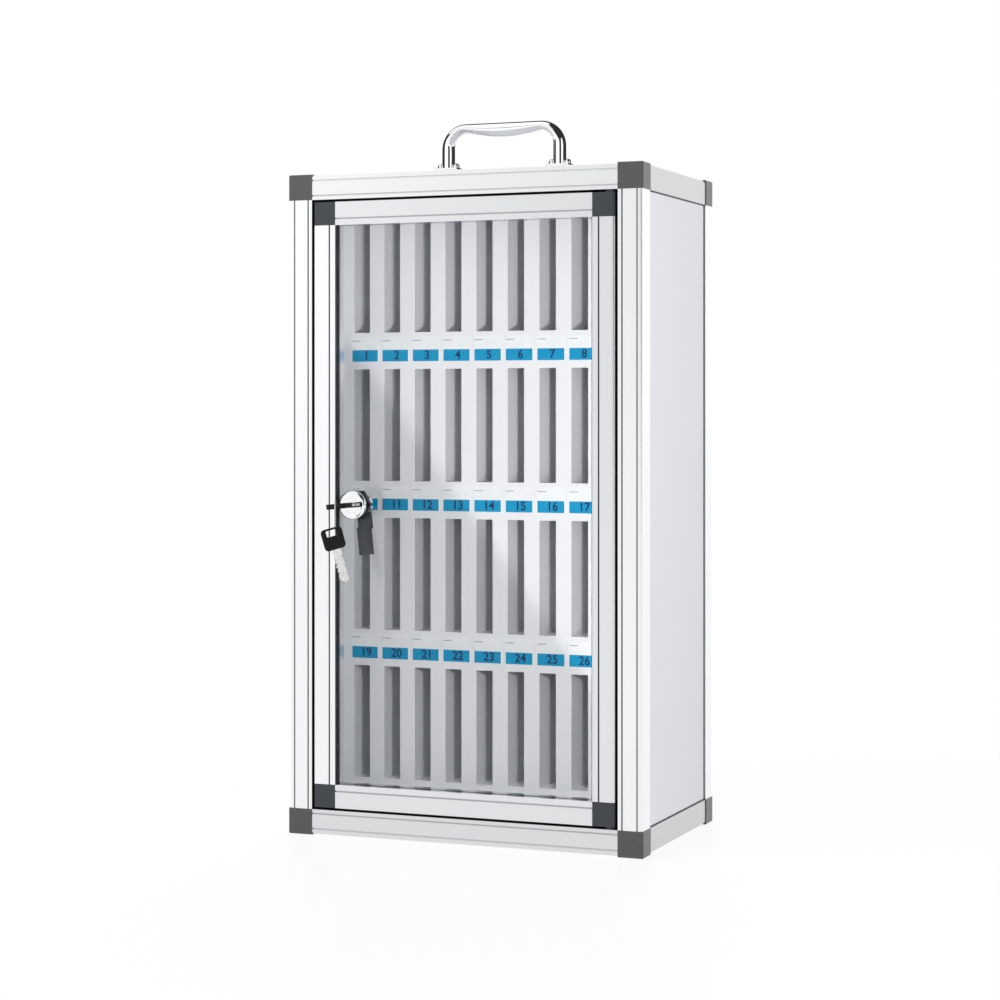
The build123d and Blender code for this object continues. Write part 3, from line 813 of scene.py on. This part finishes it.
@dataclass
class CarryHandle:
    """The chrome handle on the cabinet's top."""

    chrome: Plate = Plate("handle_chrome")
    riser_finish: MouldedPlastic = MouldedPlastic("riser_white", (0.8, 0.8, 0.8), roughness=0.4)
    steel: Plate = Plate("backing_steel", (0.6, 0.6, 0.6), roughness=0.21, wear=0.08)
    centres: float = 96.0
    leg: float = 10.0
    width: float = 12.0
    grip_end: float = 7.2
    grip_middle: float = 11.3
    bend: float = 20.5
    swell_power: float = 1.15
    flange: float = 2.0
    flange_length: float = 19.2
    flange_edge: float = 0.5
    smooth_angle: float = 50.0
    sides: int = 32
    bend_steps: int = 12
    grip_steps: int = 12

    def _thickness(self, x: float, reach: float) -> float:
        """The grip's height in millimetres at x from its middle, where reach is its half length."""
        swell = max(1.0 - (x / reach) ** 2, 0.0) ** self.swell_power
        return self.grip_end + (self.grip_middle - self.grip_end) * swell

    def _half_bow(self, foot: float, top: float) -> Object:
        """Models one leg, its thinning bend and half of the swelling grip, with an oval section.

        Args:
            foot: the height of the leg's foot in metres.
            top: the height of the grip's top.

        Returns:
            The open half, whose last section stands in the middle of the grip.
        """
        leg, bend = self.leg * MILLIMETRE, self.bend * MILLIMETRE
        outer = -(self.centres * MILLIMETRE + leg) / 2
        reach = -(outer + bend)
        deselect()
        bpy.ops.mesh.primitive_circle_add(
            vertices=self.sides, radius=0.5, location=(outer + leg / 2, 0.0, foot)
        )
        bpy.ops.transform.resize(value=(leg, self.width * MILLIMETRE, 1.0))
        bpy.ops.object.transform_apply()
        with editing():
            bpy.ops.mesh.extrude_region_move(
                TRANSFORM_OT_translate={"value": (0.0, 0.0, top - bend - foot)}
            )
            self._sweep_bend(Vector((-reach, 0.0, top - bend)))
            self._sweep_grip(reach, top)
        return bpy.context.object

    def _sweep_bend(self, middle: Vector) -> None:
        """Turns the selected section inwards, and thins it on the way.

        Args:
            middle: the middle of the bend, in metres.
        """
        turn = math.pi / 2 / self.bend_steps
        thinning = (self.leg - self.grip_end) / self.bend_steps
        for count in range(1, self.bend_steps + 1):
            bpy.ops.mesh.spin(steps=1, angle=-turn, center=middle, axis=(0.0, 1.0, 0.0))
            outwards = Vector((-math.cos(turn * count), 0.0, math.sin(turn * count)))
            back = outwards * (self.bend * MILLIMETRE) + middle
            thinner = (self.leg - thinning * count) / (self.leg - thinning * (count - 1))
            bpy.ops.transform.resize(value=(thinner, 1.0, thinner), center_override=back)

    def _sweep_grip(self, reach: float, top: float) -> None:
        """Draws the selected section out to the middle, and lets it swell on the way.

        Args:
            reach: the distance to the middle, in metres.
            top: the height of the grip's top.
        """
        step = reach / self.grip_steps
        for count in range(self.grip_steps, 0, -1):
            bpy.ops.mesh.extrude_region_move(TRANSFORM_OT_translate={"value": (step, 0.0, 0.0)})
            swell = self._thickness(step * (count - 1), reach) / self._thickness(step * count, reach)
            bpy.ops.transform.resize(
                value=(1.0, 1.0, swell), center_override=(-step * (count - 1), 0.0, top)
            )

    def _flange(self, side: int, foot: float) -> Object:
        """Models the plate under one leg.

        Args:
            side: -1 for the left leg and 1 for the right one.
            foot: the height of its underside in metres.

        Returns:
            The plate.
        """
        size = (self.flange_length * MILLIMETRE, self.width * MILLIMETRE, self.flange * MILLIMETRE)
        place = (side * self.centres / 2 * MILLIMETRE, 0.0, foot + size[2] / 2)
        deselect()
        bpy.ops.mesh.primitive_cube_add(size=1.0, location=place, scale=size)
        bpy.ops.object.transform_apply()
        with editing():
            bpy.ops.mesh.bevel(offset=self.flange_edge * MILLIMETRE, segments=3, affect="EDGES")
        return bpy.context.object

    def bow(self) -> Object:
        """Models the bow and its two flanges.

        Returns:
            The finished bow.
        """
        low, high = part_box("handle_bow")
        half = self._half_bow(low.z, high.z)
        mirror = half.modifiers.new("other_half", "MIRROR")
        mirror.merge_threshold = 0.05 * MILLIMETRE
        only(half)
        bpy.ops.object.modifier_apply(modifier=mirror.name)
        bow = settle([half, *(self._flange(side, low.z) for side in (-1, 1))], "carry_bow")
        with editing():
            bpy.ops.mesh.normals_make_consistent(inside=False)
        bpy.ops.object.shade_smooth_by_angle(angle=math.radians(self.smooth_angle))
        return bow

    def build(self) -> None:
        """Models the bow and gives the handle its finishes."""
        bow = self.bow()
        self.chrome.apply_to("handle_bow", "handle_screws", bow.name)
        carry(bow, "cabinet", "chrome", "handle_bow")
        self.riser_finish.apply_to("handle_risers")
        self.steel.apply_to("handle_backing_plate", "handle_nuts")
        log.info("handle dressed")


@dataclass
class SlotRack:
    """The rack of upright slots."""

    sheet_finish: CoatedSheet = CoatedSheet("rack_white", (0.86, 0.865, 0.885), roughness=0.45)

    def dress(self) -> None:
        """Gives the rack its finish."""
        self.sheet_finish.apply_to(*self.pieces())
        log.info("rack dressed")

    @staticmethod
    def pieces() -> list[str]:
        """The names of the rack's pieces, without its labels."""
        tiers = [f"{part}_{row}" for part in ("shelf", "dividers") for row in TIERS]
        return ["rack_end_left", "rack_end_right", "rack_top_board", *tiers]


@dataclass(frozen=True)
class CardPlace:
    """Where one card is, in metres, and its number."""

    middle: float
    face: float
    top: float
    number: int

    def below(self, drop: float, side: float = 0.0) -> Place:
        """A place on the card's face, in millimetres below its top and right of its middle."""
        return (self.middle + side * MILLIMETRE, self.face, self.top - drop * MILLIMETRE)


@dataclass
class NumberLabels:
    """The cards under the slots and what is printed on them, in millimetres."""

    columns: int = 9
    tiers: int = 4
    card_width: float = 24.0
    card_height: float = 19.4
    band_width: float = 22.4
    band_height: float = 9.2
    band_drop: float = 10.5
    band_corner: float = 0.35
    rule_width: float = 7.0
    rule_height: float = 0.5
    rule_drop: float = 3.2
    rule_corner: float = 0.1
    digit_size: float = 9.4
    digit_side: float = 1.2
    digit_weight: float = 0.2
    digit_steps: int = 3
    print_thickness: float = 0.06
    digit_lift: float = 0.084
    card_finish: Card = Card("label_card", (0.9, 0.93, 0.95))
    band_finish: Card = Card("band_blue", (0.004, 0.31, 0.58), roughness=0.4)
    rule_finish: Card = Card("rule_grey_blue", (0.25, 0.3, 0.38))
    digit_finish: Card = Card("digit_navy", (0.008, 0.035, 0.11), roughness=0.45)

    def places(self) -> list[CardPlace]:
        """Where each card is.

        Returns:
            The cards' places, in the order of their numbers.
        """
        low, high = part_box("number_labels")
        width, height = self.card_width * MILLIMETRE, self.card_height * MILLIMETRE
        across = (high.x - low.x - width) / (self.columns - 1)
        rise = (high.z - low.z - height) / (self.tiers - 1)
        return [
            CardPlace(
                low.x + width / 2 + column * across,
                low.y,
                high.z - row * rise,
                row * self.columns + column + 1,
            )
            for row in range(self.tiers)
            for column in range(self.columns)
        ]

    def _slip(self, width: float, height: float, corner: float) -> Object:
        """Models one thin printed patch at the origin, facing the front.

        Args:
            width: its width in millimetres.
            height: its height.
            corner: the radius of its corners.

        Returns:
            The patch.
        """
        deselect()
        bpy.ops.mesh.primitive_plane_add(size=1.0, rotation=(math.pi / 2, 0.0, 0.0))
        bpy.ops.transform.resize(value=(width * MILLIMETRE, 1.0, height * MILLIMETRE))
        bpy.ops.object.transform_apply(location=False)
        with editing():
            bpy.ops.mesh.bevel(offset=corner * MILLIMETRE, segments=2, affect="VERTICES")
            bpy.ops.mesh.select_all(action="SELECT")
            bpy.ops.mesh.extrude_region_move(
                TRANSFORM_OT_translate={"value": (0.0, -self.print_thickness * MILLIMETRE, 0.0)}
            )
            bpy.ops.mesh.select_all(action="SELECT")
            bpy.ops.mesh.normals_make_consistent(inside=False)
        return bpy.context.object

    def _print(self, made: Sequence[Object], name: str, finish: Card) -> None:
        """Joins what one ink prints into one piece, which the cabinet carries.

        Args:
            made: the printed patches or numbers.
            name: the joined piece's name.
            finish: the ink.
        """
        printed = settle(made, name)
        finish.apply_to(printed.name)
        carry(printed, "cabinet", "label_card")

    def _copies(self, pattern: Object, places: Iterable[Place]) -> list[Object]:
        """Copies a patch to several places.

        Args:
            pattern: the patch, which is used up.
            places: where the copies go.

        Returns:
            The copies.
        """
        made = []
        for place in places:
            copy = bpy.data.objects.new(pattern.name, pattern.data.copy())
            copy.location = place
            bpy.context.scene.collection.objects.link(copy)
            made.append(copy)
        bpy.data.objects.remove(pattern)
        return made

    def print_bands(self) -> None:
        """Models the blue bands that carry the numbers."""
        band = self._slip(self.band_width, self.band_height, self.band_corner)
        places = [card.below(self.band_drop + self.band_height / 2) for card in self.places()]
        self._print(self._copies(band, places), "label_bands", self.band_finish)

    def print_rules(self) -> None:
        """Models the short rule above each band, from the band's left end."""
        rule = self._slip(self.rule_width, self.rule_height, self.rule_corner)
        side = (self.rule_width - self.band_width) / 2
        places = [card.below(self.rule_drop, side) for card in self.places()]
        self._print(self._copies(rule, places), "label_rules", self.rule_finish)

    def print_numbers(self) -> None:
        """Sets the numbers in type on the bands."""
        made = []
        for card in self.places():
            deselect()
            bpy.ops.object.text_add()
            text = bpy.context.object
            text.data.body = str(card.number)
            text.data.align_x, text.data.align_y = "CENTER", "CENTER"
            text.data.size = self.digit_size * MILLIMETRE
            text.data.offset = self.digit_weight * MILLIMETRE
            text.data.extrude = self.print_thickness / 2 * MILLIMETRE
            text.data.resolution_u = self.digit_steps
            bpy.ops.object.convert(target="MESH")
            text = bpy.context.object
            text.rotation_euler = (math.pi / 2, 0.0, 0.0)
            text.location = card.below(self.band_drop + self.band_height / 2, self.digit_side)
            text.location.y -= self.digit_lift * MILLIMETRE
            made.append(text)
        self._print(made, "label_numbers", self.digit_finish)

    def build(self) -> None:
        """Prints and dresses the cards."""
        self.card_finish.apply_to("number_labels")
        self.print_bands()
        self.print_rules()
        self.print_numbers()
        log.info("labels printed")


@dataclass(frozen=True)
class SoftLamp:
    """A soft square lamp, which mirrors don't show, in metres and watts."""

    name: str
    place: Place
    size: float
    power: float
    for_rack: bool = False


@dataclass(frozen=True)
class Surroundings:
    """The parts of the world that metal mirrors.

    Each part lies past all of its edges. An edge is an axis, where the part starts and where it is
    full.
    """

    front: Edges = (("Y", 0.1, -0.3),)
    left: Edges = (("X", -0.22, -0.52),)
    side_band: Edges = (("X", 0.55, 0.62), ("X", 0.86, 0.8))
    high_band: Edges = (("Z", 0.3, 0.33), ("Z", 0.46, 0.43))
    ahead: Edges = (("Y", 0.0, -0.15), ("X", 0.5, 0.42), ("X", -0.8, -0.7))
    above: Edges = (("Z", 0.5, 0.56), ("X", 0.35, 0.25), ("Y", 0.42, 0.3))
    shoulder: Edges = (("X", 0.04, 0.12), ("Z", 0.3, 0.38))
    strip: Edges = (("X", 0.86, 0.9), ("Y", 0.2, 0.1))


@dataclass
class Studio:
    """The floor, the lamps and the world that the metal mirrors, in metres and watts.

    The corners are where the edge of the slanting light crosses the stiles. The slide moves its lamp
    along that edge.
    """

    surroundings: Surroundings = Surroundings()
    world_fill: float = 0.23
    mirror_left: float = 1.22
    mirror_right: float = 0.78
    mirror_back: float = 1.1
    side_band_depth: float = 0.97
    high_band_depth: float = 0.92
    polish_bright: float = 1.12
    polish_dark: float = 0.03
    lamps: tuple[SoftLamp, ...] = (
        SoftLamp("lamp_left", (-1.5, -1.5, 1.3), 1.6, 46.0),
        SoftLamp("lamp_right", (1.45, -0.8, 0.36), 1.0, 20.5),
        SoftLamp("lamp_back", (-0.5, 2.4, 1.2), 1.6, 46.0),
        SoftLamp("lamp_rack", (-1.5, -1.6, 0.7), 2.6, 11.0, for_rack=True),
    )
    aim: Place = (0.0, 0.0, 0.3)
    bulb: float = 0.006
    lock_corner: Place = (-0.1052, -0.0834, 0.3973)
    hinge_corner: Place = (0.1075, -0.0834, 0.1237)
    slant_power: float = 51.0
    slant_slide: float = -0.75
    slant_softness: float = 0.0015
    level_power: float = 8.6
    level_place: Place = (0.012, -1.35, 0.235)
    near_power: float = 4.6
    near_place: Place = (0.34, -0.5, 0.27)
    floor_size: float = 60.0
    floor_colour: Colour = (0.93, 0.93, 0.935)
    floor_roughness: float = 0.16
    floor_ior: float = 1.3
    floor_lift: float = 0.9
    floor_fade_start: float = 0.32
    floor_fade_end: float = 0.85

    def world(self) -> None:
        """Surrounds the scene with white, which satin metal shows graded and chrome between black."""
        bpy.context.scene.world = bpy.data.worlds.new("studio")
        network = Network(bpy.context.scene.world)
        seen, through, glossy, sharp = network.rays("Camera", "Transmission", "Glossy", "Singular")
        axes = network.parts(network.node("ShaderNodeTexCoord", out="Generated"))
        part = {name: network.within(axes, edges) for name, edges in vars(self.surroundings).items()}
        front = part["front"]
        facing = part["left"] * (self.mirror_left - self.mirror_right) + self.mirror_right
        satin = self.mirror_back * (1 - front) + front * facing
        satin = satin * (1 - front * part["side_band"] * self.side_band_depth)
        ahead = part["ahead"] * (1 - part["high_band"] * self.high_band_depth)
        bright = (ahead + part["above"] * (1 - ahead)) * (1 - part["shoulder"]) + part["strip"]
        polished = bright * self.polish_bright + self.polish_dark
        mirrored = satin * (1 - sharp) + polished * sharp
        plain = network.node("ShaderNodeMath", {"operation": "MAXIMUM"}, {0: seen, 1: through})
        strength = plain + (1 - plain) * (glossy * mirrored + (1 - glossy) * self.world_fill)
        sky = network.node("ShaderNodeBackground", sockets={"Color": WHITE, "Strength": strength})
        network.node("ShaderNodeOutputWorld", sockets={"Surface": sky})

    def floor(self) -> None:
        """Lays a pale floor that turns to plain white away from the cabinet."""
        deselect()
        bpy.ops.mesh.primitive_plane_add(size=self.floor_size)
        floor = bpy.context.object
        floor.name = "studio_floor"
        material = bpy.data.materials.new("studio_floor")
        network = Network(material)
        where = network.node("ShaderNodeTexCoord", out="Object")
        reach = network.node("ShaderNodeVectorMath", {"operation": "LENGTH"}, {0: where}, "Value")
        far = network.rise(reach, self.floor_fade_start, self.floor_fade_end)
        near = network.node(
            "ShaderNodeBsdfPrincipled",
            sockets={
                "Base Color": (*self.floor_colour, 1.0),
                "Roughness": self.floor_roughness,
                "IOR": self.floor_ior,
            },
        )
        white = network.node("ShaderNodeEmission", sockets={"Color": WHITE})
        seen, glossy, through = network.rays("Camera", "Glossy", "Transmission")
        share = far + (1 - far) * (seen + glossy + through) * self.floor_lift
        mixed = network.node("ShaderNodeMixShader", sockets={0: share, 1: near, 2: white})
        network.node("ShaderNodeOutputMaterial", sockets={"Surface": mixed})
        floor.data.materials.append(material)
        floor.visible_diffuse = False

    @staticmethod
    def _lamp(kind: str, name: str, place: Sequence[float], power: float) -> Object:
        """Adds a lamp that mirrors don't show.

        Args:
            kind: its type.
            name: its name.
            place: where it stands.
            power: its power in watts.

        Returns:
            The lamp.
        """
        deselect()
        bpy.ops.object.light_add(type=kind, location=place)
        lamp = bpy.context.object
        lamp.name = name
        lamp.data.energy = power
        lamp.visible_glossy = False
        return lamp

    def soft_lamp(self, plan: SoftLamp) -> None:
        """Sets up a soft lamp, which lights the rack alone, or all but the rack.

        Args:
            plan: what the lamp is like.
        """
        lamp = self._lamp("AREA", plan.name, plan.place, plan.power)
        lamp.data.shape = "SQUARE"
        lamp.data.size = plan.size
        beam = Vector(self.aim) - Vector(plan.place)
        lamp.rotation_euler = beam.to_track_quat("-Z", "Y").to_euler()
        rack = bpy.data.collections.new(f"{plan.name}_rack")
        for piece in self.rack_pieces(plan.for_rack):
            rack.objects.link(piece)
        lamp.light_linking.receiver_collection = rack
        for held in rack.collection_objects:
            held.light_linking.link_state = "INCLUDE" if plan.for_rack else "EXCLUDE"

    def rack_pieces(self, with_back: bool) -> list[Object]:
        """The pieces behind the pane that have lamps of their own.

        Args:
            with_back: whether the back panel, which all the lamps light, is among them.

        Returns:
            The pieces.
        """
        printed = ("label_bands", "label_rules", "label_numbers", "number_labels")
        back = ("back_panel",) if with_back else ()
        return [bpy.data.objects[name] for name in (*SlotRack.pieces(), *printed, *back)]

    def rack_lamp(
        self,
        name: str,
        place: Sequence[float],
        power: float,
        shading: Sequence[str] = (),
        edge: Vector | None = None,
    ) -> None:
        """Sets up a small lamp for the rack alone.

        Args:
            name: its name.
            place: where it stands.
            power: its power in watts.
            shading: the pieces besides the rack that throw shadows in its light.
            edge: where given, the light fills only the half space that this normal points into.
        """
        lamp = self._lamp("POINT", name, place, power)
        lamp.data.shadow_soft_size = self.bulb
        if edge is not None:
            network = Network(lamp.data)
            ray = network.node("ShaderNodeTexCoord", out="Normal")
            sides = {0: ray, 1: tuple(edge)}
            past = network.node("ShaderNodeVectorMath", {"operation": "DOT_PRODUCT"}, sides, "Value")
            half = network.rise(past, -self.slant_softness, self.slant_softness)
            glow = network.node("ShaderNodeEmission", sockets={"Strength": half})
            network.node("ShaderNodeOutputLight", sockets={"Surface": glow})
        lit = bpy.data.collections.new(f"{name}_lights")
        dark = bpy.data.collections.new(f"{name}_shades")
        for piece in self.rack_pieces(True):
            lit.objects.link(piece)
            dark.objects.link(piece)
        for piece in shading:
            dark.objects.link(bpy.data.objects[piece])
        lamp.light_linking.receiver_collection = lit
        lamp.light_linking.blocker_collection = dark

    def light_rack(self, eye: Vector) -> None:
        """Lights the rack from ahead and from the right, and once more above a slanting edge.

        Args:
            eye: the camera's place. The slanting edge lies in one plane with it and the lamp.
        """
        upper, lower = Vector(self.lock_corner), Vector(self.hinge_corner)
        slope = (upper - lower).normalized()
        edge = slope.cross(eye - upper).normalized()
        if edge.x < 0:
            edge.negate()
        slant_place = eye + slope * self.slant_slide
        self.rack_lamp("slant_lamp", slant_place, self.slant_power, edge=edge)
        keys = ("key_head", "key_blade", "key_ring", "spare_key_head", "spare_key_blade")
        self.rack_lamp("level_lamp", self.level_place, self.level_power, ("lock_body", *keys))
        self.rack_lamp("near_lamp", self.near_place, self.near_power)

    def build(self) -> None:
        """Sets up the studio."""
        self.world()
        self.floor()
        for plan in self.lamps:
            self.soft_lamp(plan)
        self.light_rack(Vector(ViewCamera.place))
        log.info("studio ready")


@dataclass
class ViewCamera:
    """The camera, level and turned a little to the left, in metres and degrees."""

    place: Place = (0.709016, -1.766092, 0.333598)
    turn: float = 21.9636
    lens: float = 85.4275
    sensor: float = 36.0
    rise: float = -0.088896
    nearest: float = 0.02

    def build(self) -> None:
        """Sets up the camera and makes it the scene's own."""
        deselect()
        bpy.ops.object.camera_add(
            location=self.place, rotation=(math.pi / 2, 0.0, math.radians(self.turn))
        )
        camera = bpy.context.object
        camera.name = "view_camera"
        camera.data.sensor_width = self.sensor
        camera.data.lens = self.lens
        camera.data.shift_y = self.rise
        camera.data.clip_start = self.nearest
        bpy.context.scene.camera = camera


def main() -> None:
    """Builds the pieces in order; the pieces that it models log their face counts."""
    logging.basicConfig(level=logging.INFO, format="%(name)s: %(message)s")
    bpy.context.scene.view_settings.view_transform = "Standard"
    ViewCamera().build()
    CabinetFrame().dress()
    Door().dress()
    CamLock().dress()
    Keys().build()
    CarryHandle().build()
    SlotRack().dress()
    NumberLabels().build()
    Studio().build()


if __name__ == "__main__":
    main()
